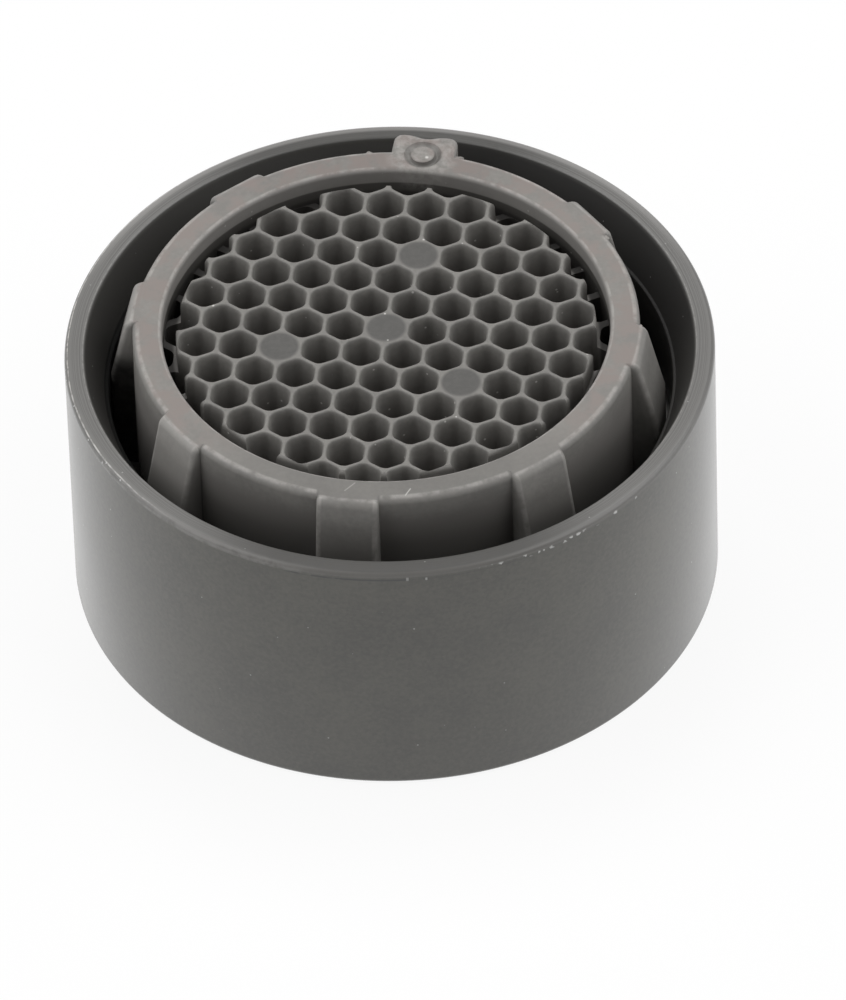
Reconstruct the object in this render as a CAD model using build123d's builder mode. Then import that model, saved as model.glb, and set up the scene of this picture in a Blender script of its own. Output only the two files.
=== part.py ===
# Tap flow regulator: an aerator cartridge that stands on its inlet end, with its honeycomb outlet up.
# Millimetres, +Z from inlet to outlet, origin at the centre of the inlet face.
import os
from math import cos, hypot, pi, radians, sin, sqrt

from build123d import *

# Sleeve, the plain round housing
sleeve_diameter = 22.0
sleeve_height = 9.9
rim_wall = 0.65  # at the outlet rim
mouth_depth = 1.55  # of the tapered mouth below the rim
mouth_ledge = 0.11  # width of the ledge at the mouth's foot
guide_wall = 1.45  # round the bore that guides the ribs
inlet_wall = 0.8
rim_edge = 0.2  # bevels at the sleeve's outer edges
foot_edge = 0.15
bead_reach = 0.25  # of the snap bead at the inlet
bead_height = 0.5
bead_lead = 0.25

# Nozzle, which sits loosely in the sleeve
nozzle_play = 0.13  # each side, in the sleeve
nozzle_lean = 0.7  # share of that play by which it rests to one side
nozzle_stand = 1.1  # out of the sleeve
air_gap = 0.98  # between the ring and the guide bore
ring_wall = 1.0
ring_edge = 0.22  # bevels at the top of the ring and the ribs
rib_count = 8
rib_start = 35.0
rib_width = 2.1
rib_lip = 0.16  # by which a rib stands out of the ring at its top
hook_height = 1.1
hook_clearance = 0.1
air_window = 1.0  # height of the openings between the legs

# Gate block on one rib
gate_rib = 1
gate_width = 2.2
gate_corner = 0.25
gate_notch_radius = 0.5
gate_notch_depth = 0.12
gate_inset = 1.0  # of the dimple from the block's outer face
dimple_radius = 0.6
dimple_depth = 0.15
nub_radius = 0.4

# Honeycomb flow straightener
cell_pitch = 1.397
cell_wall = 0.25
cell_turn = -7.7
honeycomb_recess = 0.25  # below the ring's top
honeycomb_depth = 3.0
groove_width = 0.4  # round the honeycomb's upper part
groove_depth = 1.9
closed_cells = [(0, 0), (-1, 3), (-2, -1), (3, -2)]  # solid, as seats for the ejector pins

# Mixing grid
grid_clearance = 0.1
grid_thickness = 0.8
grid_rim = 0.7
grid_bar = 0.5
grid_rings = 1
grid_spokes = 8
grid_hub = 1.1
grid_feet = 4
grid_foot = 0.5

# Jet plate
plate_clearance = 0.1
plate_web = 0.8
chamber_height = 0.6
chamber_ledge = 0.6  # on which the regulator bears
cup_wall = 0.9
jet_count = 12
jet_width = 0.6
jet_length = 1.6
jet_inset = 0.8  # of the jets' outer ends from the nozzle's bore

# Flow regulator
core_clearance = 0.1
core_height = 1.4
core_rim = 0.7
core_web = 0.7
hub_radius = 2.0
hub_notches = 8
hub_notch_width = 0.55
hub_notch_depth = 0.35
hub_drop = 1.95  # from the core's top
spoke_count = 6
spoke_width = 0.6
spoke_thickness = 0.5
ring_section = 1.4  # thickness of the rubber ring
ring_clearance = 0.03
channel_gap = 0.5  # between the rubber ring and the channel's wall
channel_wall = 0.6
channel_drop = 1.4

# Inlet strainer
strainer_height = 1.1
strainer_web = 0.45
strainer_rim = 1.7
mesh_pitch = 2.1
mesh_hole = 1.5

# Radii. The ribs and hooks have flat faces, whose corners keep the play
sleeve_radius = sleeve_diameter / 2
rim_radius = sleeve_radius - rim_wall
guide_bore = sleeve_radius - guide_wall
inlet_bore = sleeve_radius - inlet_wall
bead_bore = inlet_bore - bead_reach
guide_face = sqrt((guide_bore - nozzle_play) ** 2 - (rib_width / 2) ** 2)
hook_face = sqrt((inlet_bore - nozzle_play) ** 2 - (rib_width / 2) ** 2)
ring_radius = guide_bore - air_gap
ring_bore = ring_radius - ring_wall
rib_root = ring_bore + ring_wall / 2
groove_radius = ring_bore - groove_width
plate_radius = inlet_bore - plate_clearance
cup_bore = plate_radius - cup_wall
chamber_bore = cup_bore - chamber_ledge
core_radius = cup_bore - core_clearance
channel_bore = hub_radius + ring_clearance + ring_section + channel_gap

# Heights, stacked from the inlet face
strainer_top = bead_height + strainer_height
core_top = strainer_top + core_height
plate_under = core_top + chamber_height
plate_top = plate_under + plate_web
hook_top = plate_top + hook_height
step_level = hook_top + hook_clearance
ring_foot = plate_top + air_window
mouth_level = sleeve_height - mouth_depth
ring_top = sleeve_height + nozzle_stand
honeycomb_top = ring_top - honeycomb_recess
honeycomb_foot = honeycomb_top - honeycomb_depth
groove_floor = honeycomb_top - groove_depth
spoke_under = core_top - spoke_thickness

# The nozzle and what is inside it share an axis that leans to the sleeve's left
nozzle_x = -nozzle_play * nozzle_lean
nozzle_axis = Axis((nozzle_x, 0, 0), (0, 0, 1))


def nozzle_plane(level, angle=0.0):
    """Level plane on the nozzle's axis, with X along the given angle."""
    across = (cos(radians(angle)), sin(radians(angle)), 0)
    return Plane(origin=(nozzle_x, 0, level), x_dir=across, z_dir=(0, 0, 1))


def nozzle_section(angle=0.0):
    """Upright plane through the nozzle's axis, with X outward and Y up."""
    across = (cos(radians(angle)), sin(radians(angle)), 0)
    normal = (sin(radians(angle)), -cos(radians(angle)), 0)
    return Plane(origin=(nozzle_x, 0, 0), x_dir=across, z_dir=normal)


def honeycomb_centres():
    """Centres of the open cells whose mouths lie mostly inside the ring."""
    reach = int(2 * ring_bore / cell_pitch)
    limit = ring_bore + 0.25 * cell_pitch
    first = radians(cell_turn)
    second = first + pi / 3
    centres = []
    for i in range(-reach, reach + 1):
        for j in range(-reach, reach + 1):
            x = cell_pitch * (i * cos(first) + j * cos(second))
            y = cell_pitch * (i * sin(first) + j * sin(second))
            if hypot(x, y) < limit and (i, j) not in closed_cells:
                centres.append((x, y))
    return centres


def mesh_centres():
    """Centres of the sieve's square holes, on a grid inside its rim."""
    limit = plate_radius - strainer_rim - mesh_hole / sqrt(2)
    reach = int(limit / mesh_pitch) + 1
    rows = [mesh_pitch * n for n in range(-reach, reach + 1)]
    return [(x, y) for x in rows for y in rows if hypot(x, y) < limit]


# Outer sleeve: one turned section, with a step inside that keeps the nozzle in
with BuildPart() as outer_sleeve:
    with BuildSketch(Plane.XZ) as sleeve_section:
        with BuildLine():
            Polyline(
                (inlet_bore, 0),
                (sleeve_radius, 0),
                (sleeve_radius, sleeve_height),
                (rim_radius, sleeve_height),
                (guide_bore + mouth_ledge, mouth_level),
                (guide_bore, mouth_level),
                (guide_bore, step_level),
                (inlet_bore, step_level),
                (inlet_bore, bead_height),
                (bead_bore, bead_height),
                (bead_bore, bead_lead),
                close=True,
            )
        make_face()
        chamfer(sleeve_section.vertices().group_by(Axis.Y)[-1].sort_by(Axis.X)[-1], rim_edge)
        chamfer(sleeve_section.vertices().group_by(Axis.Y)[0].sort_by(Axis.X)[-1], foot_edge)
    revolve(axis=Axis.Z)

# Outlet nozzle: ring, legs and ribs, gate block and honeycomb in one moulding
with BuildPart() as outlet_nozzle:
    with BuildSketch(nozzle_section()) as ring_profile:
        with Locations((ring_bore, ring_foot)):
            Rectangle(ring_wall, ring_top - ring_foot, align=(Align.MIN, Align.MIN))
        chamfer(ring_profile.vertices().group_by(Axis.Y)[-1], ring_edge)
    revolve(axis=nozzle_axis)

    for rib in range(rib_count):
        with BuildSketch(nozzle_section(rib_start + rib * 360 / rib_count)) as rib_profile:
            with BuildLine():
                Polyline(
                    (rib_root, plate_top),
                    (hook_face, plate_top),
                    (hook_face, hook_top),
                    (guide_face, hook_top),
                    (guide_face, mouth_level),
                    (ring_radius + rib_lip, ring_top),
                    (rib_root, ring_top),
                    close=True,
                )
            make_face()
            chamfer(rib_profile.vertices().group_by(Axis.Y)[-1].sort_by(Axis.X)[-1], ring_edge)
        extrude(amount=rib_width / 2, both=True)

    gate_angle = rib_start + gate_rib * 360 / rib_count
    with BuildSketch(nozzle_plane(ring_top, gate_angle)) as gate_plan:
        with Locations((rib_root, 0)):
            Rectangle(guide_face - rib_root, gate_width, align=(Align.MIN, Align.CENTER))
        fillet(gate_plan.vertices().group_by(Axis.X)[-1], gate_corner)
        with Locations((guide_face - gate_notch_depth + gate_notch_radius, 0)):
            Circle(gate_notch_radius, mode=Mode.SUBTRACT)
    extrude(amount=mouth_level - ring_top)
    with BuildSketch(nozzle_plane(ring_top, gate_angle)):
        with Locations((guide_face - gate_inset, 0)):
            Circle(dimple_radius)
            Circle(nub_radius, mode=Mode.SUBTRACT)
    extrude(amount=-dimple_depth, mode=Mode.SUBTRACT)

    with BuildSketch(nozzle_plane(honeycomb_foot)):
        Circle(rib_root)
        with Locations(*honeycomb_centres()):
            RegularPolygon(
                (cell_pitch - cell_wall) / 2,
                side_count=6,
                major_radius=False,
                rotation=cell_turn + 30,
                mode=Mode.SUBTRACT,
            )
    extrude(amount=honeycomb_depth)
    with BuildSketch(nozzle_plane(groove_floor)):
        Circle(ring_bore)
        Circle(groove_radius, mode=Mode.SUBTRACT)
    extrude(amount=groove_depth, mode=Mode.SUBTRACT)

# Mixing grid: rings and spokes on four feet, inside the nozzle
with BuildPart() as mixing_grid:
    grid_radius = ring_bore - grid_clearance
    grid_top = honeycomb_foot - grid_clearance
    with BuildSketch(nozzle_plane(grid_top - grid_thickness)):
        Circle(grid_radius)
        Circle(grid_radius - grid_rim, mode=Mode.SUBTRACT)
        for ring in range(1, grid_rings + 1):
            bar_radius = ring * (grid_radius - grid_rim) / (grid_rings + 1)
            Circle(bar_radius + grid_bar / 2)
            Circle(bar_radius - grid_bar / 2, mode=Mode.SUBTRACT)
        Circle(grid_hub)
        with PolarLocations((grid_radius - grid_rim / 2) / 2, grid_spokes):
            Rectangle(grid_radius - grid_rim / 2, grid_bar)
    extrude(amount=grid_thickness)
    with BuildSketch(nozzle_plane(plate_top)):
        with PolarLocations(grid_radius - grid_rim / 2, grid_feet):
            Rectangle(grid_foot, grid_foot)
    extrude(amount=grid_top - grid_thickness - plate_top)

# Jet plate: a cup that opens to the inlet, with a circle of narrow jets in its floor
with BuildPart() as jet_plate:
    with BuildSketch(Plane.XZ):
        with BuildLine():
            Polyline(
                (0, plate_under),
                (chamber_bore, plate_under),
                (chamber_bore, core_top),
                (cup_bore, core_top),
                (cup_bore, strainer_top),
                (plate_radius, strainer_top),
                (plate_radius, plate_top),
                (0, plate_top),
                close=True,
            )
        make_face()
    revolve(axis=Axis.Z)
    with BuildSketch(Plane.XY.offset(plate_top)):
        with PolarLocations(ring_bore - jet_inset - jet_length / 2, jet_count):
            Rectangle(jet_length, jet_width)
    extrude(amount=-plate_web, mode=Mode.SUBTRACT)

# Regulator core: carrier disc with a channel for the rubber ring round a notched hub
with BuildPart() as regulator_core:
    with BuildSketch(Plane.XZ):
        with BuildLine():
            Polyline(
                (channel_bore, core_top - channel_drop),
                (channel_bore + channel_wall, core_top - channel_drop),
                (channel_bore + channel_wall, core_top - core_web),
                (core_radius - core_rim, core_top - core_web),
                (core_radius - core_rim, strainer_top),
                (core_radius, strainer_top),
                (core_radius, core_top),
                (channel_bore, core_top),
                close=True,
            )
        make_face()
    revolve(axis=Axis.Z)
    with BuildSketch(Plane.XY.offset(core_top)):
        Circle(hub_radius)
        with PolarLocations(hub_radius, hub_notches):
            Rectangle(2 * hub_notch_depth, hub_notch_width, mode=Mode.SUBTRACT)
    extrude(amount=-hub_drop)
    with BuildSketch(Plane.XY.offset(core_top)):
        with PolarLocations((hub_radius + channel_bore) / 2, spoke_count):
            Rectangle(channel_bore - hub_radius + spoke_width, spoke_width)
    extrude(amount=-spoke_thickness)

# Rubber ring round the hub, against the spokes
with BuildPart() as regulator_ring:
    with BuildSketch(Plane.XZ):
        ring_middle = spoke_under - ring_clearance - ring_section / 2
        with Locations((hub_radius + ring_clearance + ring_section / 2, ring_middle)):
            Rectangle(ring_section, ring_section)
    revolve(axis=Axis.Z)

# Inlet strainer: flat sieve in a rim that sits on the sleeve's snap bead
with BuildPart() as inlet_strainer:
    with BuildSketch(Plane.XY.offset(bead_height)):
        Circle(plate_radius)
        with Locations(*mesh_centres()):
            Rectangle(mesh_hole, mesh_hole, mode=Mode.SUBTRACT)
    extrude(amount=strainer_web)
    with BuildSketch(Plane.XY.offset(bead_height)):
        Circle(plate_radius)
        Circle(plate_radius - strainer_rim, mode=Mode.SUBTRACT)
    extrude(amount=strainer_height)

pieces = {
    "outer_sleeve": outer_sleeve,
    "outlet_nozzle": outlet_nozzle,
    "mixing_grid": mixing_grid,
    "jet_plate": jet_plate,
    "regulator_core": regulator_core,
    "regulator_ring": regulator_ring,
    "inlet_strainer": inlet_strainer,
}
os.makedirs("parts", exist_ok=True)
for name, piece in pieces.items():
    piece.part.label = name
    export_step(piece.part, f"parts/{name}.step")
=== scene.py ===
from math import cos, hypot, pi, radians, sin, sqrt

import bmesh
import bpy
from mathutils import Matrix, Vector, noise


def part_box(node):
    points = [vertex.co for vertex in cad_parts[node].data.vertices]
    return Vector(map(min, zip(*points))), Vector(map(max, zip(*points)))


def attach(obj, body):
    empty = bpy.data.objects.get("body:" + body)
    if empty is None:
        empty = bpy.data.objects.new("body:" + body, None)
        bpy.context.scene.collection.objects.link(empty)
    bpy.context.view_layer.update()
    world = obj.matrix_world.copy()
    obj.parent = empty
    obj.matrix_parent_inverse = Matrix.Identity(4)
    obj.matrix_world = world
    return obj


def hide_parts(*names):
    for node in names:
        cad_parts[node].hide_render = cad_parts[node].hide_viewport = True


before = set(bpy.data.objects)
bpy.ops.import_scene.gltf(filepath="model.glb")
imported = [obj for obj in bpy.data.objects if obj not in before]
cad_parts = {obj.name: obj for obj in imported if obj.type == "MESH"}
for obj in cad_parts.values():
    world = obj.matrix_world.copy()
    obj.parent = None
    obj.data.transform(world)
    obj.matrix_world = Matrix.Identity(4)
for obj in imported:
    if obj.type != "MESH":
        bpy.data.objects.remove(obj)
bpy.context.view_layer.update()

# Outer sleeve: the plain round housing that slides into the spout. It is one moulding in grey acetal
# with a satin skin, a tapered mouth at the outlet, a step inside for the nozzle's hooks and a snap
# bead at the inlet for the strainer. All sizes in the script are millimetres until a piece is finished.
mm = 0.001
sleeve_low, sleeve_high = (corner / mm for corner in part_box("outer_sleeve"))
box_margin = 0.001
sleeve_radius = -sleeve_low.x - box_margin
sleeve_top = sleeve_high.z
rim_radius = sleeve_radius - 0.65
guide_bore = sleeve_radius - 1.45
inlet_bore = sleeve_radius - 0.8
bead_bore = inlet_bore - 0.25
mouth_level = sleeve_top - 1.55
mouth_ledge = 0.11
step_level = 5.6
bead_level = 0.5
bead_lead = 0.25
rim_round = 0.21
mouth_round = 0.08
ledge_round = 0.02
foot_round = 0.2
inner_round = 0.05
round_steps = 240


def outline(points, rounds, steps=6):
    """A flat bmesh face in the XZ plane, its corners rounded by the sizes that rounds gives by index."""
    flat = bmesh.new()
    corners = [flat.verts.new((x, 0, z)) for x, z in points]
    flat.faces.new(corners)
    for index, size in rounds.items():
        bmesh.ops.bevel(
            flat, geom=[corners[index]], offset=size, offset_type="OFFSET", affect="VERTICES",
            segments=steps, profile=0.5, material=-1,
        )
    return flat


def turned(points, rounds, centre_x=0.0, steps=round_steps):
    """A closed shape turned about an upright axis from an outline whose X is the radius."""
    ring = outline(points, rounds)
    bmesh.ops.delete(ring, geom=ring.faces[:], context="FACES_ONLY")
    on_axis = [e for e in ring.edges if max(v.co.x for v in e.verts) < 1e-6]
    bmesh.ops.delete(ring, geom=on_axis, context="EDGES")
    bmesh.ops.translate(ring, verts=ring.verts[:], vec=(centre_x, 0, 0))
    bmesh.ops.spin(
        ring, geom=ring.verts[:] + ring.edges[:], cent=(centre_x, 0, 0), axis=(0, 0, 1),
        angle=2 * pi, steps=steps, use_merge=True,
    )
    bmesh.ops.remove_doubles(ring, verts=ring.verts[:], dist=0.0005)
    bmesh.ops.recalc_face_normals(ring, faces=ring.faces[:])
    return ring


def piece(name, shape, material, crease=32.0):
    """An object in metres from a bmesh in millimetres, smooth except at creases."""
    bmesh.ops.scale(shape, vec=(mm, mm, mm), verts=shape.verts[:])
    mesh = bpy.data.meshes.new(name)
    shape.to_mesh(mesh)
    shape.free()
    mesh.shade_smooth()
    mesh.set_sharp_from_angle(angle=radians(crease))
    mesh.materials.append(material)
    made = bpy.data.objects.new(name, mesh)
    bpy.context.scene.collection.objects.link(made)
    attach(made, "root")
    return made


class Shade:
    """A value over a surface. Arithmetic on it adds Math nodes to its material."""

    def __init__(self, tree, socket=None):
        self.tree = tree
        self.socket = socket

    def add(self, kind, sockets, out=0, **settings):
        """One more node: its settings first, then the values or links of its sockets."""
        node = self.tree.nodes.new("ShaderNode" + kind)
        for key, value in settings.items():
            setattr(node, key, value)
        for key, value in sockets.items():
            if isinstance(value, Shade):
                self.tree.links.new(value.socket, node.inputs[key])
            else:
                node.inputs[key].default_value = value
        return Shade(self.tree, node.outputs[out] if node.outputs else None)

    def math(self, operation, first, second):
        return self.add("Math", {0: first, 1: second}, operation=operation)

    def __add__(self, other):
        return self.math("ADD", self, other)

    def __sub__(self, other):
        return self.math("SUBTRACT", self, other)

    def __rsub__(self, other):
        return self.math("SUBTRACT", other, self)

    def __mul__(self, other):
        return self.math("MULTIPLY", self, other)

    __radd__ = __add__
    __rmul__ = __mul__

    def step(self, start, end):
        """A smooth step from 0 at start to 1 at end, which may be the lower of the two."""
        sockets = {"Value": self, "From Min": start, "From Max": end}
        return self.add("MapRange", sockets, interpolation_type="SMOOTHSTEP")

    def ramp(self, start, end):
        """The same step for a length, with its ends in millimetres."""
        return self.step(start * mm, end * mm)

    def along(self, x, y, z):
        """This vector's part along a direction."""
        return self.add("VectorMath", {0: self, 1: (x, y, z)}, "Value", operation="DOT_PRODUCT")

    def grain(self, size, detail=2.0):
        """Even noise from 0 to 1, with features of that size in millimetres."""
        sockets = {"Vector": self, "Scale": 1 / (size * mm), "Detail": detail, "Roughness": 0.6}
        return self.add("TexNoise", sockets)

    def blend(self, low, high):
        """Colour low where this is 0 and high where it is 1."""
        return self.add("Mix", {0: self, 6: low, 7: high}, 2, data_type="RGBA")


def colour(red, green, blue):
    """A display colour in 0 to 255 as the linear values that Blender takes."""
    linear = [((c / 255 + 0.055) / 1.055) ** 2.4 for c in (red, green, blue)]
    return (*linear, 1.0)


def new_material(name):
    """An empty material, with its Object coordinates as a Shade."""
    material = bpy.data.materials.new(name)
    material.use_nodes = True
    material.node_tree.nodes.clear()
    place = Shade(material.node_tree).add("TexCoord", {}, "Object")
    return material, place


def satin(place, tone, rough, height, depth, skin=0.0):
    """Ends a material in a satin plastic with that colour, roughness, fine relief and glossier skin."""
    bump = place.add("Bump", {"Strength": 1.0, "Distance": depth * mm, "Height": height})
    sockets = {"Base Color": tone, "Roughness": rough, "Normal": bump}
    shader = place.add("BsdfPrincipled", {**sockets, "Coat Weight": skin, "Coat Roughness": 0.22})
    place.add("OutputMaterial", {"Surface": shader})


def specks(place, spacing, size, share):
    """Round specks, on that share of the cells of a random pattern, both sizes in millimetres."""
    sockets = {"Vector": place, "Scale": 1 / (spacing * mm)}
    pattern = place.add("TexVoronoi", sockets, "Distance")
    picked = Shade(place.tree, pattern.socket.node.outputs["Color"]).along(1, 0, 0)
    return pattern.step(size / spacing, 0.6 * size / spacing) * picked.step(1 - share, 1 - share + 0.02)


def from_axis(place, centre_x=0.0):
    """The distance from an upright axis."""
    flat = place.add("VectorMath", {0: place, 1: (centre_x * mm, 0, 0)}, operation="SUBTRACT")
    flat = flat.add("VectorMath", {0: flat, 1: (1, 1, 0)}, operation="MULTIPLY")
    return flat.add("VectorMath", {0: flat}, "Value", operation="LENGTH")


def band(value, middle, half):
    """1 where a length is at that middle, fading to 0 at that half width to each side, in millimetres."""
    apart = value - middle * mm
    return apart.math("ABSOLUTE", apart, 0).ramp(half, 0.4 * half)


def sector(place, angle, spread):
    """1 near a direction seen from above, fading to 0 at that spread to each side, in degrees."""
    flat = place.add("VectorMath", {0: place, 1: (1, 1, 0)}, operation="MULTIPLY")
    flat = flat.add("VectorMath", {0: flat}, operation="NORMALIZE")
    facing = flat.along(cos(radians(angle)), sin(radians(angle)), 0)
    return facing.step(cos(radians(spread)), cos(radians(0.6 * spread)))


sleeve_dark, sleeve_light = colour(42, 40, 33), colour(66, 64, 55)
rim_grey, side_sheen_grey, front_round_light_grey = colour(79, 78, 76), colour(115, 114, 112), colour(104, 102, 99)
mouth_painted_shade, mouth_shade, ledge_shade_and_seam_dark = colour(52, 51, 49), colour(38, 37, 36), colour(14, 14, 13)
rim_shine, rub_and_highlight_grey, lip_grey = colour(158, 156, 154), colour(190, 188, 184), colour(170, 168, 165)
nick_white = colour(205, 205, 203)


def sleeve_finish():
    """Satin grey with faint flow mottling and turning lines, painted shade in the mouth, painted sheen and
    highlights on the rim, and edges nicked pale and worn pale, partly as painted highlight.
    """
    material, place = new_material("sleeve_plastic")
    radius = from_axis(place)
    height = place.along(0, 0, 1)
    mottle = place.grain(2.5, 4.0)
    fine = place.grain(0.05, 1.0)
    at_front = sector(place, -90, 62)
    at_back = sector(place, 90, 75)
    at_sides = sector(place, 0, 70) + sector(place, 180, 70)
    on_top = height.ramp(sleeve_top - 0.2, sleeve_top - 0.03)
    inside = radius.ramp(rim_radius + 0.03, rim_radius - 0.1)
    outer = radius.ramp(sleeve_radius - 0.16, sleeve_radius - 0.08)

    # The body, the rim with its turning lines, and the mouth in painted shade, darker towards the back
    # right and near black on its ledge at the left
    tone = 0.45 * mottle + 0.55 * place.grain(0.16, 3.0)
    tone = tone.step(0.3, 0.7).blend(sleeve_dark, sleeve_light)
    waver = radius + place.grain(1.5) * (0.06 * mm)
    lines = waver.add("TexNoise", {"W": waver, "Scale": 1 / (0.09 * mm)}, noise_dimensions="1D")
    lines = lines.step(0.38, 0.62) * on_top
    tone = on_top.blend(tone, rim_grey)
    # Painted shade on the mouth's inner wall, darker towards the back right, and near-black painted shade
    # on the ledge
    tone = inside.blend(tone, mouth_painted_shade)
    tone = (inside * sector(place, 42, 50)).blend(tone, mouth_shade)
    ledge = height.ramp(mouth_level + 0.15, mouth_level + 0.04) * inside * sector(place, 180, 100)
    tone = ledge.blend(tone, ledge_shade_and_seam_dark)

    # The rim: painted sheen on its sides along the turning lines, a painted highlight on the back of its
    # rounding, pale edges that are partly wear and partly painted highlight, painted light on the front of
    # its rounding, and a soft lip along the front
    side_sheen = at_sides * (1 - inside) * height.ramp(sleeve_top - 0.3, sleeve_top - 0.1)
    tone = (side_sheen * (0.5 + 0.6 * lines)).blend(tone, side_sheen_grey)
    # Painted highlight along the back of the rim's outer rounding
    shine = at_back * band(radius, sleeve_radius - 0.14, 0.24) * on_top
    tone = (0.5 * shine).blend(tone, rim_shine)
    # Pale edges on the rim, partly wear and partly painted highlight
    edge_patches = (0.3 + 0.7 * place.grain(0.3, 4.0).step(0.35, 0.6)) * (1 - 0.9 * at_front)
    edges = 1.8 * band(waver, sleeve_radius - 0.07, 0.03) * sector(place, 178, 75)
    edges = edges + 0.6 * band(radius, rim_radius + 0.03, 0.03) * (1 - at_back)
    tone = (0.5 * edges * on_top * edge_patches).blend(tone, rub_and_highlight_grey)
    # Painted light on the front of the rim's rounding
    rounding = band(height, sleeve_top - 0.09, 0.13) * outer * at_front
    tone = (0.6 * rounding).blend(tone, front_round_light_grey)
    lip = band(height, sleeve_top - 0.16, 0.14) * outer * sector(place, -132, 30)
    tone = (0.22 * lip * place.grain(0.4, 4.0).step(0.3, 0.6)).blend(tone, lip_grey)

    # The mould's parting line under the rim, with nicks beside it and dust all over
    parting = band(height, sleeve_top - 0.28, 0.05) * outer
    parting = parting * (sector(place, -98, 13) + 0.35 * sector(place, -88, 28))
    parting = parting * place.grain(0.6).step(0.3, 0.5)
    # The parting line is a real dark seam, in the same near-black as the ledge's painted shade
    tone = parting.blend(tone, ledge_shade_and_seam_dark)
    edge = height.ramp(sleeve_top - 0.34, sleeve_top - 0.24) * outer
    chipped = sector(place, -58, 20) * band(height, sleeve_top - 0.25, 0.12)
    jagged = place.add("TexNoise", {"Vector": place, "Scale": 1 / (0.1 * mm)}, "Color")
    spread = {0: jagged, 1: (0.14 * mm,) * 3, 2: place}
    jagged = jagged.add("VectorMath", spread, operation="MULTIPLY_ADD")
    nicks = specks(jagged, 0.22, 0.1, 0.36) * edge * chipped
    nicks = nicks + specks(place, 0.15, 0.045, 0.2) * edge * sector(place, -168, 30)
    nicks = nicks + 0.4 * sector(place, -88.3, 0.27) * band(height, sleeve_top - 0.26, 0.1)
    nicks = nicks + 0.5 * sector(place, -85, 0.22) * band(height, sleeve_top - 0.3, 0.08)
    dust = specks(place, 0.5, 0.035, 0.2)
    tone = (0.8 * nicks + 0.4 * dust).blend(tone, nick_white)

    rough = 0.3 + 0.1 * mottle + 0.2 * nicks + 0.2 * inside + 0.4 * ledge
    relief = fine + 0.6 * place.grain(0.35) + lines - parting
    satin(place, tone, rough, relief, 0.002, 0.82 * (1 - on_top) * (1 - inside))
    return material


sleeve = piece(
    "sleeve_shell",
    turned(
        [
            (inlet_bore, 0),
            (sleeve_radius, 0),
            (sleeve_radius, sleeve_top),
            (rim_radius, sleeve_top),
            (guide_bore + mouth_ledge, mouth_level),
            (guide_bore, mouth_level),
            (guide_bore, step_level),
            (inlet_bore, step_level),
            (inlet_bore, bead_level),
            (bead_bore, bead_level),
            (bead_bore, bead_lead),
        ],
        {
            1: foot_round, 2: rim_round, 3: mouth_round, 4: ledge_round, 5: inner_round,
            6: inner_round, 9: inner_round,
        },
    ),
    sleeve_finish(),
)
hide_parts("outer_sleeve")

# Outlet nozzle, its ring: the round wall that carries the honeycomb, with eight legs that run up its
# outside as tapered ribs and hook under the sleeve's step. Ring, ribs, gate block and honeycomb are
# one moulding in warm grey acetal, so they are joined here into one closed shape.
nozzle_low, nozzle_high = (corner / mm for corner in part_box("outlet_nozzle"))
nozzle_x = (nozzle_low.x + nozzle_high.x) / 2
ring_top = nozzle_high.z
leg_foot = nozzle_low.z
ring_radius = guide_bore - 0.98
ring_bore = ring_radius - 1.0
ring_foot = leg_foot + 1.0
ring_inner_round = 0.2
ring_outer_round = 0.27
rib_count = 8
rib_start = 35.0
rib_width = 2.1
rib_lip = 0.16
rib_edge = 0.19
rib_crest = 0.3
rib_root = ring_radius - 0.5
nozzle_play = 0.13
guide_face = sqrt((guide_bore - nozzle_play) ** 2 - (rib_width / 2) ** 2)
hook_face = sqrt((inlet_bore - nozzle_play) ** 2 - (rib_width / 2) ** 2)
hook_top = step_level - 0.1
hidden_step = 0.004


def nozzle_turn(angle):
    """From a shape with X outward to its place at that angle round the nozzle's axis."""
    return Matrix.Translation((nozzle_x, 0, 0)) @ Matrix.Rotation(radians(angle), 4, "Z")


def rib(angle):
    """One leg: its side outline drawn out to the rib's width, with softened outer edges."""
    shape = outline(
        [
            (rib_root, leg_foot),
            (hook_face, leg_foot),
            (hook_face, hook_top),
            (guide_face, hook_top),
            (guide_face, mouth_level),
            (ring_radius + rib_lip, ring_top - hidden_step),
            (rib_root, ring_top - hidden_step),
        ],
        {5: rib_crest},
    )
    drawn = bmesh.ops.extrude_face_region(shape, geom=shape.faces[:])
    far_side = [v for v in drawn["geom"] if isinstance(v, bmesh.types.BMVert)]
    bmesh.ops.translate(shape, verts=far_side, vec=(0, rib_width, 0))
    bmesh.ops.translate(shape, verts=shape.verts[:], vec=(0, -rib_width / 2, 0))
    bmesh.ops.recalc_face_normals(shape, faces=shape.faces[:])
    outer = [
        e for e in shape.edges
        if abs(e.verts[0].co.y - e.verts[1].co.y) < 1e-6
        and min(v.co.x for v in e.verts) > rib_root + 0.1
        and max(v.co.z for v in e.verts) > hook_top + 0.1
    ]
    bmesh.ops.bevel(
        shape, geom=outer, offset=rib_edge, offset_type="OFFSET", affect="EDGES",
        segments=4, profile=0.5, material=-1,
    )
    bmesh.ops.transform(shape, matrix=nozzle_turn(angle), verts=shape.verts[:])
    return shape


def joined(first, second, operation):
    """One closed shape from two, by a Boolean."""
    made = []
    for shape in (first, second):
        mesh = bpy.data.meshes.new("blank")
        shape.to_mesh(mesh)
        shape.free()
        blank = bpy.data.objects.new("blank", mesh)
        bpy.context.scene.collection.objects.link(blank)
        made.append(blank)
    cut = made[0].modifiers.new("cut", "BOOLEAN")
    cut.operation = operation
    cut.object = made[1]
    cut.solver = "MANIFOLD"
    result = bmesh.new()
    result.from_object(made[0], bpy.context.evaluated_depsgraph_get())
    for blank in made:
        mesh = blank.data
        bpy.data.objects.remove(blank)
        bpy.data.meshes.remove(mesh)
    return result


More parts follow.
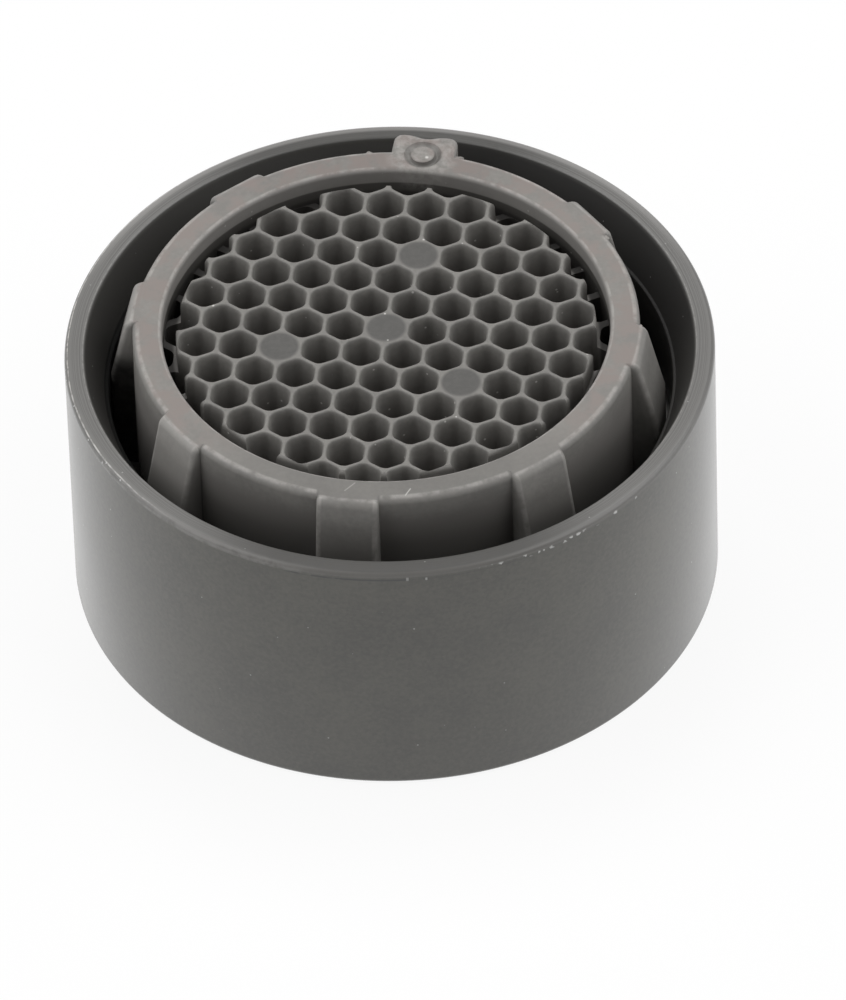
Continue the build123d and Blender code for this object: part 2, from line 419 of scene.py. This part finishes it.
nozzle = turned(
    [(ring_bore, ring_foot), (ring_radius, ring_foot), (ring_radius, ring_top), (ring_bore, ring_top)],
    {0: inner_round, 1: inner_round, 2: ring_outer_round, 3: ring_inner_round},
    nozzle_x,
)
for number in range(rib_count):
    nozzle = joined(nozzle, rib(rib_start + number * 360 / rib_count), "UNION")

# Gate block: the lug on one rib where the plastic ran into the mould. Its outer edge has a shallow
# notch, and its top a round dimple with the stub of the broken gate inside it.
gate_angle = rib_start + 360 / rib_count
gate_width = 2.2
gate_corner = 0.32
gate_edge = 0.17
notch_width = 0.9
notch_depth = 0.18
notch_corner = 0.22
notch_root = 0.26
dimple_centre = guide_face - 1.0
dimple_radius = 0.6
dimple_depth = 0.19
nub_radius = 0.42
nub_round = 0.08
dimple_round = 0.1
dimple_lip = 0.14

gate = bmesh.new()
gate_half = gate_width / 2
plan = [
    (rib_root, -gate_half),
    (guide_face, -gate_half),
    (guide_face, -notch_width / 2),
    (guide_face - notch_depth, 0),
    (guide_face, notch_width / 2),
    (guide_face, gate_half),
    (rib_root, gate_half),
]
corners = [gate.verts.new((x, y, mouth_level)) for x, y in plan]
gate.faces.new(corners)
gate_rounds = {1: gate_corner, 5: gate_corner, 2: notch_corner, 3: notch_root, 4: notch_corner}
for index, size in gate_rounds.items():
    bmesh.ops.bevel(
        gate, geom=[corners[index]], offset=size, offset_type="OFFSET", affect="VERTICES",
        segments=5, profile=0.5, material=-1,
    )
drawn = bmesh.ops.extrude_face_region(gate, geom=gate.faces[:])
top_side = [v for v in drawn["geom"] if isinstance(v, bmesh.types.BMVert)]
bmesh.ops.translate(gate, verts=top_side, vec=(0, 0, ring_top - hidden_step - mouth_level))
bmesh.ops.recalc_face_normals(gate, faces=gate.faces[:])
top_edges = [
    e for e in gate.edges
    if min(v.co.z for v in e.verts) > ring_top - 0.1 and max(v.co.x for v in e.verts) > rib_root + 0.01
]
bmesh.ops.bevel(
    gate, geom=top_edges, offset=gate_edge, offset_type="OFFSET", affect="EDGES",
    segments=4, profile=0.5, material=-1,
)
bmesh.ops.transform(gate, matrix=nozzle_turn(gate_angle), verts=gate.verts[:])
nozzle = joined(nozzle, gate, "UNION")

dimple = outline(
    [
        (nub_radius - 0.03, ring_top + 0.5),
        (nub_radius - 0.03, ring_top + 0.01),
        (nub_radius + 0.06, ring_top - dimple_depth),
        (dimple_radius + 0.08, ring_top + 0.02),
        (dimple_radius + 0.23, ring_top + 0.5),
    ],
    {1: nub_round, 2: dimple_round, 3: dimple_lip},
    5,
)
bmesh.ops.delete(dimple, geom=dimple.faces[:], context="FACES_ONLY")
bmesh.ops.spin(
    dimple, geom=dimple.verts[:] + dimple.edges[:], cent=(0, 0, 0), axis=(0, 0, 1),
    angle=2 * pi, steps=48, use_merge=True,
)
bmesh.ops.remove_doubles(dimple, verts=dimple.verts[:], dist=0.0005)
bmesh.ops.recalc_face_normals(dimple, faces=dimple.faces[:])
bmesh.ops.translate(dimple, verts=dimple.verts[:], vec=(dimple_centre, 0, 0))
bmesh.ops.transform(dimple, matrix=nozzle_turn(gate_angle), verts=dimple.verts[:])
nozzle = joined(nozzle, dimple, "DIFFERENCE")

# Flash: ragged slivers of plastic that squeezed out along the mould's joint at the ring's outer edge
# and at the ribs' corners, and were not trimmed. They are part of the nozzle's moulding, and each is
# given by its angle, radius and size.
flash_places = [
    (35.5, ring_radius - 0.02, 0.16), (92.5, ring_radius - 0.06, 0.1), (71.5, ring_radius - 0.04, 0.12),
    (27.2, ring_radius - 0.05, 0.1), (-3.6, ring_radius + 0.03, 0.08), (172.5, ring_radius - 0.02, 0.13),
]
for number, (angle, radius, size) in enumerate(flash_places):
    sliver = bmesh.new()
    bmesh.ops.create_icosphere(sliver, subdivisions=2, radius=size)
    for corner in sliver.verts:
        corner.co *= 1 + 0.5 * noise.noise(corner.co * 9 + Vector((number, 0, 0)))
    bmesh.ops.scale(sliver, verts=sliver.verts[:], vec=(0.7, 1.2, 0.4))
    bmesh.ops.translate(sliver, verts=sliver.verts[:], vec=(radius, 0, ring_top - 0.9 * size))
    bmesh.ops.transform(sliver, matrix=nozzle_turn(angle), verts=sliver.verts[:])
    nozzle = joined(nozzle, sliver, "UNION")

# Honeycomb: the flow straightener in the ring, a plate of thin hexagonal cells. Four cells are left
# solid as seats for ejector pins, and a groove round the upper part frees the outer walls' ends.
cell_pitch = 1.397
cell_turn = -7.7
cell_round = 0.34
ridge = 0.04
brim = (cell_pitch - ridge) / 2
wall_edge = 0.088
edge_depth = 0.32
edge_steps = 5
flare = 0.03
flare_depth = 1.0
draft = 0.04
honeycomb_top = ring_top - 0.25
honeycomb_depth = 3.0
groove_radius = ring_bore - 0.46
groove_floor = honeycomb_top - 0.9
groove_round = 0.22
closed_cells = [(0, 0), (-1, 3), (-2, -1), (3, -2)]
pin_radius = 0.6
pin_depth = 0.02
pin_taper = 0.8
plug_spare = 0.5
wall_overlap = 0.2
top_spare = 0.03


def sheet_with_hole(open_cell):
    """One hexagon of the plate's top with its mouth cut out, and the edges of that mouth."""
    sheet = bmesh.new()
    bmesh.ops.create_circle(sheet, segments=6, radius=cell_pitch / sqrt(3))
    bmesh.ops.subdivide_edges(sheet, edges=sheet.edges[:], cuts=3)
    border = set(sheet.edges)
    if open_cell:
        ends = bmesh.ops.create_circle(sheet, segments=6, radius=brim * 2 / sqrt(3))["verts"]
        bmesh.ops.bevel(
            sheet, geom=ends, offset=cell_round / sqrt(3), offset_type="OFFSET", affect="VERTICES",
            segments=4, profile=0.5, material=-1,
        )
    else:
        bmesh.ops.create_circle(sheet, segments=24, radius=pin_radius)
    hole = [e for e in sheet.edges if e not in border]
    bmesh.ops.bridge_loops(sheet, edges=sheet.edges[:])
    return sheet, hole


def drawn_in(sheet, edges, scale, level):
    """A further band of faces from those edges to the same loop at that scale and level."""
    strip = bmesh.ops.extrude_edge_only(sheet, edges=edges)["geom"]
    ends = [v for v in strip if isinstance(v, bmesh.types.BMVert)]
    bmesh.ops.scale(sheet, verts=ends, vec=(scale, scale, 1))
    bmesh.ops.translate(sheet, verts=ends, vec=(0, 0, level - ends[0].co.z))
    return [e for e in strip if isinstance(e, bmesh.types.BMEdge)]


def tile(open_cell):
    """One cell with its share of the walls, or one solid seat for an ejector pin, open at its border."""
    sheet, hole = sheet_with_hole(open_cell)
    lower = bmesh.ops.duplicate(sheet, geom=sheet.faces[:])
    lower_hole = [lower["edge_map"][e] for e in hole]
    lower_ends = [v for v in lower["geom"] if isinstance(v, bmesh.types.BMVert)]
    bmesh.ops.translate(sheet, verts=lower_ends, vec=(0, 0, -honeycomb_depth))
    if open_cell:
        apothem = brim
        for number in range(edge_steps):
            turn = pi / 2 * (number + 1) / edge_steps
            narrower = brim - wall_edge * sin(turn)
            hole = drawn_in(sheet, hole, narrower / apothem, edge_depth * (cos(turn) - 1))
            apothem = narrower
        hole = drawn_in(sheet, hole, (apothem - flare) / apothem, -flare_depth)
        drawn_in(sheet, hole, (apothem - flare - draft) / (apothem - flare), -honeycomb_depth)
        drawn_in(sheet, lower_hole, (apothem - flare - draft) / brim, -honeycomb_depth)
        bmesh.ops.remove_doubles(sheet, verts=sheet.verts[:], dist=0.002)
    else:
        hole = drawn_in(sheet, hole, pin_taper, -pin_depth)
        bmesh.ops.contextual_create(sheet, geom=hole)
        bmesh.ops.contextual_create(sheet, geom=lower_hole)
    return sheet


first_axis = radians(cell_turn)
second_axis = first_axis + pi / 3
reach = int(2 * ring_radius / cell_pitch)
patterns = {}
for open_cell in (True, False):
    patterns[open_cell] = bpy.data.meshes.new("tile")
    sheet = tile(open_cell)
    bmesh.ops.rotate(sheet, verts=sheet.verts[:], matrix=Matrix.Rotation(first_axis, 3, "Z"))
    sheet.to_mesh(patterns[open_cell])
    sheet.free()
honeycomb = bmesh.new()
pads = []
for i in range(-reach, reach + 1):
    for j in range(-reach, reach + 1):
        x = cell_pitch * (i * cos(first_axis) + j * cos(second_axis))
        y = cell_pitch * (i * sin(first_axis) + j * sin(second_axis))
        if hypot(x, y) > ring_bore + 0.7 * cell_pitch:
            continue
        before = len(honeycomb.verts)
        honeycomb.from_mesh(patterns[(i, j) not in closed_cells])
        honeycomb.verts.ensure_lookup_table()
        middle = Vector((nozzle_x + x, y, honeycomb_top))
        bmesh.ops.translate(honeycomb, verts=honeycomb.verts[before:], vec=middle)
        if (i, j) in closed_cells:
            pads.append(middle)
bmesh.ops.remove_doubles(honeycomb, verts=honeycomb.verts[:], dist=0.005)
upper_edge = [e for e in honeycomb.edges if e.is_boundary and e.verts[0].co.z > honeycomb_top - 0.01]
drawn = bmesh.ops.extrude_edge_only(honeycomb, edges=upper_edge)
side_foot = [v for v in drawn["geom"] if isinstance(v, bmesh.types.BMVert)]
bmesh.ops.translate(honeycomb, verts=side_foot, vec=(0, 0, -honeycomb_depth))
bmesh.ops.remove_doubles(honeycomb, verts=honeycomb.verts[:], dist=0.005)
bmesh.ops.recalc_face_normals(honeycomb, faces=honeycomb.faces[:])
plug = turned(
    [
        (0, honeycomb_top - honeycomb_depth - plug_spare),
        (ring_bore + wall_overlap, honeycomb_top - honeycomb_depth - plug_spare),
        (ring_bore + wall_overlap, groove_floor),
        (groove_radius, groove_floor),
        (groove_radius, honeycomb_top + top_spare),
        (0, honeycomb_top + top_spare),
    ],
    {4: groove_round},
    nozzle_x,
)
honeycomb = joined(honeycomb, plug, "INTERSECT")
nozzle = joined(nozzle, honeycomb, "UNION")


nozzle_dark, nozzle_light = colour(114, 112, 109), colour(128, 126, 122)
depth_shade_grey, inner_wall_light_grey, front_wall_shade_grey = colour(122, 119, 116), colour(146, 143, 140), colour(92, 90, 87)
groove_painted_shade, groove_shade = colour(78, 76, 73), colour(56, 54, 52)
left_rib_light_grey, rib_shade, pin_grey = colour(172, 169, 165), colour(26, 25, 24), colour(83, 82, 80)
front_top_shade_grey, blotch_grey, side_top_light_grey = colour(104, 102, 99), colour(126, 118, 114), colour(184, 179, 174)
wear_and_highlight_grey, blush_grey, dimple_shade = colour(180, 177, 173), colour(170, 167, 163), colour(90, 88, 85)
scratch_dust_glint_white = colour(214, 212, 208)


def distance(place, point):
    """How far a place is from a point that is given in millimetres."""
    return place.add("VectorMath", {0: place, 1: point * mm}, "Value", operation="DISTANCE")


def scratch(place, start, end, width):
    """1 along a straight scratch between two places, in millimetres."""
    line = (end - start) * mm
    apart = place.add("VectorMath", {0: place, 1: start * mm}, operation="SUBTRACT")
    share = apart.along(*(line / line.length_squared))
    share = share.add("Clamp", {"Value": share})
    nearest = share.add("VectorMath", {0: line, "Scale": share}, operation="SCALE")
    away = apart.add("VectorMath", {0: apart, 1: nearest}, "Value", operation="DISTANCE")
    return away.ramp(width, 0.3 * width)


def on_ring(angle, radius):
    """A place on the ring's top."""
    return nozzle_turn(angle) @ Vector((radius, 0, ring_top))


def beside_rib(place, radius):
    """How far a place is to one side of the nearest rib's middle."""
    apart = place.add("VectorMath", {0: place, 1: (nozzle_x * mm, 0, 0)}, operation="SUBTRACT")
    angle = apart.math("ARCTAN2", apart.along(0, 1, 0), apart.along(1, 0, 0))
    half = pi / rib_count
    turn = angle.add("Math", {0: angle - radians(rib_start), 1: half, 2: -half}, operation="WRAP")
    side = radius * turn.math("SINE", turn, 0)
    return side.math("ABSOLUTE", side, 0)


def nozzle_finish():
    """Warm satin grey with painted shade in its depths, groove and front, painted light on its inner wall
    and sides, edges pale from wear and painted highlight, pin marks and scratches.
    """
    material, place = new_material("nozzle_plastic")
    radius = from_axis(place, nozzle_x)
    height = place.along(0, 0, 1)
    mottle = place.grain(1.6, 4.0)
    fine = place.grain(0.04, 1.0)
    cloud = place.grain(0.18, 3.0)
    at_front = sector(place, -90, 60)
    at_sides = sector(place, 0, 70) + sector(place, 180, 70)
    on_top = height.ramp(ring_top - 0.1, ring_top - 0.03)
    on_rib = radius.ramp(ring_radius + 0.02, ring_radius + 0.06)

    # The body, painted shade in its depths, painted light on the ring's inner wall, and painted shade in
    # the groove, darkest on its floor
    tone = (0.6 * mottle + 0.4 * cloud).step(0.32, 0.68).blend(nozzle_dark, nozzle_light)
    # Painted shade in the depths, in a tone now near the body's middle tone
    deep = height.ramp(honeycomb_top - 0.2, honeycomb_top - 1.3)
    deep = deep * radius.ramp(ring_radius + 0.06, ring_radius + 0.01)
    tone = deep.blend(tone, depth_shade_grey)
    # Painted light on the ring's inner wall
    tone = (0.6 * band(radius, ring_bore, 0.12)).blend(tone, inner_wall_light_grey)
    # Painted shade in the groove, darker on its floor
    groove = radius.ramp(groove_radius + 0.05, groove_radius + 0.2)
    groove = groove * radius.ramp(ring_bore + 0.3, ring_bore + 0.1)
    groove = groove * height.ramp(ring_top - 0.58, ring_top - 0.66)
    tone = groove.blend(tone, groove_painted_shade)
    on_floor = height.ramp(groove_floor + 0.25, groove_floor + 0.1)
    tone = (groove * on_floor).blend(tone, groove_shade)

    # Painted shade on the ring's outside at the front below the sleeve's rim, painted light on the left
    # ribs, and painted shade where they go down into the sleeve
    outside = radius.ramp(ring_radius - 0.05, ring_radius - 0.02) * sector(place, -90, 80)
    tone = (outside * height.ramp(sleeve_top + 0.4, sleeve_top - 1.2)).blend(tone, front_wall_shade_grey)
    # Painted light on the left ribs
    at_left = on_rib * sector(place, 200, 60)
    tone = (0.3 * at_left).blend(tone, left_rib_light_grey)
    # Painted shade where the left ribs go down into the sleeve
    sunk = height.ramp(sleeve_top - 0.1, sleeve_top - 1.2) * sector(place, 178, 30)
    tone = (at_left * sunk).blend(tone, rib_shade)

    # The pin marks on the closed cells, and the ring's top with its blotches, painted shade at its front
    # and painted light at its sides
    for pad in pads:
        mark = distance(place, pad).ramp(pin_radius + 0.14, pin_radius - 0.02)
        tone = (mark * (0.7 + 0.5 * cloud)).blend(tone, pin_grey)
    # Painted shade at the front of the ring's top, painted light at its sides
    tone = (0.4 * at_front * on_top).blend(tone, front_top_shade_grey)
    blotches = place.grain(0.7, 4.0).step(0.38, 0.62) * (1 - at_front)
    tone = (on_top * blotches).blend(tone, blotch_grey)
    tone = (0.1 * on_top * at_sides).blend(tone, side_top_light_grey)

    # Pale edges on the ring and ribs, partly wear and partly painted highlight, but not round the gate
    gate_centre = on_ring(gate_angle, dimple_centre)
    from_gate = distance(place, gate_centre)
    side = beside_rib(place, radius)
    free = side.ramp(rib_width / 2 - 0.02, rib_width / 2 + 0.06)
    edges = band(radius, ring_radius - 0.13, 0.14) * free + band(radius, ring_bore + 0.07, 0.09)
    edges = edges + band(radius, ring_radius + rib_lip - 0.1, 0.12) * (1 - free)
    edges = edges * from_gate.ramp(1.3, 1.5) * on_top
    edges = edges + 0.6 * band(side, rib_width / 2 - 0.1, 0.12) * on_rib
    tone = (0.5 * edges * place.grain(0.5, 4.0).step(0.3, 0.65)).blend(tone, wear_and_highlight_grey)

    # The gate: a pale blush, a painted shadow in the dimple and a painted glint where the stub broke off
    blush = from_gate.ramp(1.4, 0.9) * place.grain(0.25, 4.0).step(0.3, 0.7)
    tone = (0.5 * blush).blend(tone, blush_grey)
    # Painted shadow in the dimple, heavier towards the front
    apart = place.add("VectorMath", {0: place, 1: gate_centre * mm}, operation="SUBTRACT")
    shaded = 0.25 + 0.5 * apart.along(0.4, -0.9, 0).ramp(-0.4, 0.5)
    dip = band(from_gate, (nub_radius + dimple_radius) / 2, 0.2)
    tone = (shaded * dip).blend(tone, dimple_shade)
    # A painted glint on the gate's stub
    glint = distance(place, on_ring(gate_angle - 1.1, dimple_centre - 0.12)).ramp(0.08, 0.03)

    # Two scratches on the ring's front, dust in the honeycomb, and the gate's painted glint
    marks = 0.35 * scratch(place, on_ring(-101, 8.2), on_ring(-99, 7.8), 0.035)
    marks = marks + 0.8 * scratch(place, on_ring(-87, 8.4), on_ring(-85.6, 8.1), 0.03)
    dust = specks(place, 0.45, 0.05, 0.35) * radius.ramp(ring_bore + 0.05, ring_bore - 0.05)
    tone = (0.7 * marks + 0.7 * dust + 0.7 * glint).blend(tone, scratch_dust_glint_white)

    satin(place, tone, 0.46 + 0.12 * mottle, fine + 0.6 * place.grain(0.3) + marks, 0.002)
    return material


outlet = piece("nozzle_moulding", nozzle, nozzle_finish())
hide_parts("outlet_nozzle")

# Inlet strainer: the flat sieve that keeps grit out of the jets, moulded in paler acetal. Its raised rim
# snaps in behind the sleeve's bead, and the edges of its square holes are rounded for the water.
strainer_low, strainer_high = (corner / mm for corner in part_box("inlet_strainer"))
strainer_radius = strainer_high.x
strainer_bore = strainer_radius - 1.7
strainer_round = 0.12
sieve_foot = strainer_low.z
sieve_top = sieve_foot + 0.45
mesh_pitch = 2.1
mesh_half = 0.75
mesh_corner = 0.2
mesh_round = 0.1
mesh_spare = 0.1

strainer = turned(
    [
        (0, sieve_foot),
        (strainer_radius, sieve_foot),
        (strainer_radius, strainer_high.z),
        (strainer_bore, strainer_high.z),
        (strainer_bore, sieve_top),
        (0, sieve_top),
    ],
    {1: strainer_round, 2: strainer_round, 3: strainer_round, 4: strainer_round},
)
cutter = bmesh.new()
mouth_half = mesh_half + mesh_round
ends = bmesh.ops.create_circle(
    cutter, cap_ends=True, segments=4, radius=mouth_half * sqrt(2),
    matrix=Matrix.Rotation(pi / 4, 4, "Z"),
)["verts"]
bmesh.ops.bevel(
    cutter, geom=ends, offset=mesh_corner, offset_type="OFFSET", affect="VERTICES",
    segments=4, profile=0.5, material=-1,
)
bmesh.ops.translate(cutter, verts=cutter.verts[:], vec=(0, 0, sieve_foot - mesh_spare))
border = cutter.edges[:]
stages = [
    (mesh_half + mesh_round * (1 - sin(turn)), sieve_foot + mesh_round * (1 - cos(turn)))
    for turn in (0, pi / 6, pi / 3, pi / 2)
]
stages += [(size, sieve_foot + sieve_top - level) for size, level in reversed(stages)]
stages.append((mouth_half, sieve_top + mesh_spare))
for size, level in stages:
    border = drawn_in(cutter, border, size / mouth_half, level)
    mouth_half = size
bmesh.ops.contextual_create(cutter, geom=border)
bmesh.ops.recalc_face_normals(cutter, faces=cutter.faces[:])
pattern = bpy.data.meshes.new("hole")
cutter.to_mesh(pattern)
cutter.free()
sieve_limit = strainer_bore - mesh_half * sqrt(2)
rows = int(sieve_limit / mesh_pitch) + 1
holes = bmesh.new()
for i in range(-rows, rows + 1):
    for j in range(-rows, rows + 1):
        if hypot(i, j) * mesh_pitch < sieve_limit:
            before = len(holes.verts)
            holes.from_mesh(pattern)
            holes.verts.ensure_lookup_table()
            shift = (i * mesh_pitch, j * mesh_pitch, 0)
            bmesh.ops.translate(holes, verts=holes.verts[before:], vec=shift)
strainer = joined(strainer, holes, "DIFFERENCE")


def inner_finish():
    """Pale satin acetal with faint mottling and a patchy grey film of lime."""
    material, place = new_material("inner_plastic")
    mottle = place.grain(1.2, 3.0)
    film = place.grain(0.5, 4.0)
    tone = mottle.step(0.3, 0.7).blend(colour(150, 149, 146), colour(158, 157, 154))
    tone = (0.35 * film.step(0.5, 0.75)).blend(tone, colour(186, 184, 178))
    satin(place, tone, 0.36 + 0.15 * mottle + 0.1 * film, place.grain(0.06) + 0.8 * film, 0.003)
    return material


inner_plastic = inner_finish()
sieve = piece("strainer_moulding", strainer, inner_plastic)
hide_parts("inlet_strainer")

# Inner pieces: the mixing grid, jet plate and regulator core are plain mouldings in the same acetal, and
# the ring round the core's hub is cut from black rubber. They sit stacked inside the sleeve.


def rubber_finish():
    """Matt black rubber with a fine bloom."""
    material, place = new_material("ring_rubber")
    bloom = place.grain(0.3, 3.0)
    tone = bloom.step(0.45, 0.75).blend(colour(28, 28, 29), colour(44, 44, 45))
    satin(place, tone, 0.62 + 0.2 * bloom, place.grain(0.05), 0.003)
    return material


for name in ("mixing_grid", "jet_plate", "regulator_core"):
    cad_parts[name].data.materials.clear()
    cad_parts[name].data.materials.append(inner_plastic)
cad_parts["regulator_ring"].data.materials.clear()
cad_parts["regulator_ring"].data.materials.append(rubber_finish())

# Studio: a white floor, soft light from a wide lamp above and two panels at the sides, and a long
# lens that looks down at the regulator as in the photograph.
photo_width = 846
photo_height = 1000
focal_pixels = 15119.8
target_pixel = (393.0, 447.5)
target_level = 5.116
view_elevation = 44.1
view_roll = -1.983
view_distance = 513.84
floor_size = 6.0

scene = bpy.context.scene
scene.view_settings.view_transform = "Standard"


def to_the_eye(place, glossy):
    """1 on rays straight from the camera, that share of 1 on rays by way of a reflection, and else 0."""
    path = place.add("LightPath", {}, "Is Camera Ray")
    mirrored = Shade(place.tree, path.socket.node.outputs["Is Glossy Ray"])
    return path + glossy * mirrored


floor_shape = bmesh.new()
bmesh.ops.create_grid(floor_shape, x_segments=1, y_segments=1, size=floor_size / 2)
floor_mesh = bpy.data.meshes.new("floor")
floor_shape.to_mesh(floor_mesh)
floor_shape.free()
floor = bpy.data.objects.new("floor", floor_mesh)
scene.collection.objects.link(floor)
floor_paint, floor_place = new_material("floor_paint")
seen = to_the_eye(floor_place, 1.0)
white = floor_place.add("Emission", {"Color": (1, 1, 1, 1), "Strength": 1.0})
matt = floor_place.add("BsdfDiffuse", {"Color": (0.85, 0.85, 0.85, 1)})
lit = floor_place.add("MixShader", {0: 0.9 * seen, 1: matt, 2: white})
floor_place.add("OutputMaterial", {"Surface": lit})
floor_mesh.materials.append(floor_paint)

world = bpy.data.worlds.new("studio")
world.use_nodes = True
world.node_tree.nodes.clear()
around = Shade(world.node_tree)
level = 0.05 + 0.95 * to_the_eye(around, 0.56)
sky = around.add("Background", {"Color": (1, 1, 1, 1), "Strength": level})
around.add("OutputWorld", {"Surface": sky})
scene.world = world


def lamp(name, size, power, place):
    """A square soft lamp of that size in metres, turned to the object."""
    light = bpy.data.lights.new(name, "AREA")
    light.size = size
    light.energy = power
    made = bpy.data.objects.new(name, light)
    made.location = place
    made.rotation_euler = (Vector((0, 0, 0.006)) - Vector(place)).to_track_quat("-Z", "Y").to_euler()
    scene.collection.objects.link(made)
    return made


lamp("key", 0.14, 0.42, (-0.01, 0.13, 0.3)).visible_glossy = False
lamp("left panel", 0.6, 2.45, (-0.42, 0.0, 0.42))
lamp("right panel", 0.6, 2.45, (0.42, 0.0, 0.42))
lamp("front panel", 0.5, 0.2, (0.0, -0.5, 0.14))

elevation = radians(view_elevation)
back = Vector((0, -cos(elevation), sin(elevation)))
across = Vector((1, 0, 0))
upward = across.cross(-back)
roll = Matrix.Rotation(radians(view_roll), 3, back)
axes = Matrix((roll @ across, roll @ upward, back)).transposed()
lens = bpy.data.cameras.new("camera")
lens.sensor_width = 36.0
lens.lens = focal_pixels / photo_height * lens.sensor_width
lens.shift_x = (photo_width / 2 - target_pixel[0]) / photo_height
lens.shift_y = (target_pixel[1] - photo_height / 2) / photo_height
camera = bpy.data.objects.new("camera", lens)
camera.location = (Vector((0, 0, target_level)) + back * view_distance) * mm
camera.rotation_euler = axes.to_euler()
scene.collection.objects.link(camera)
scene.camera = camera
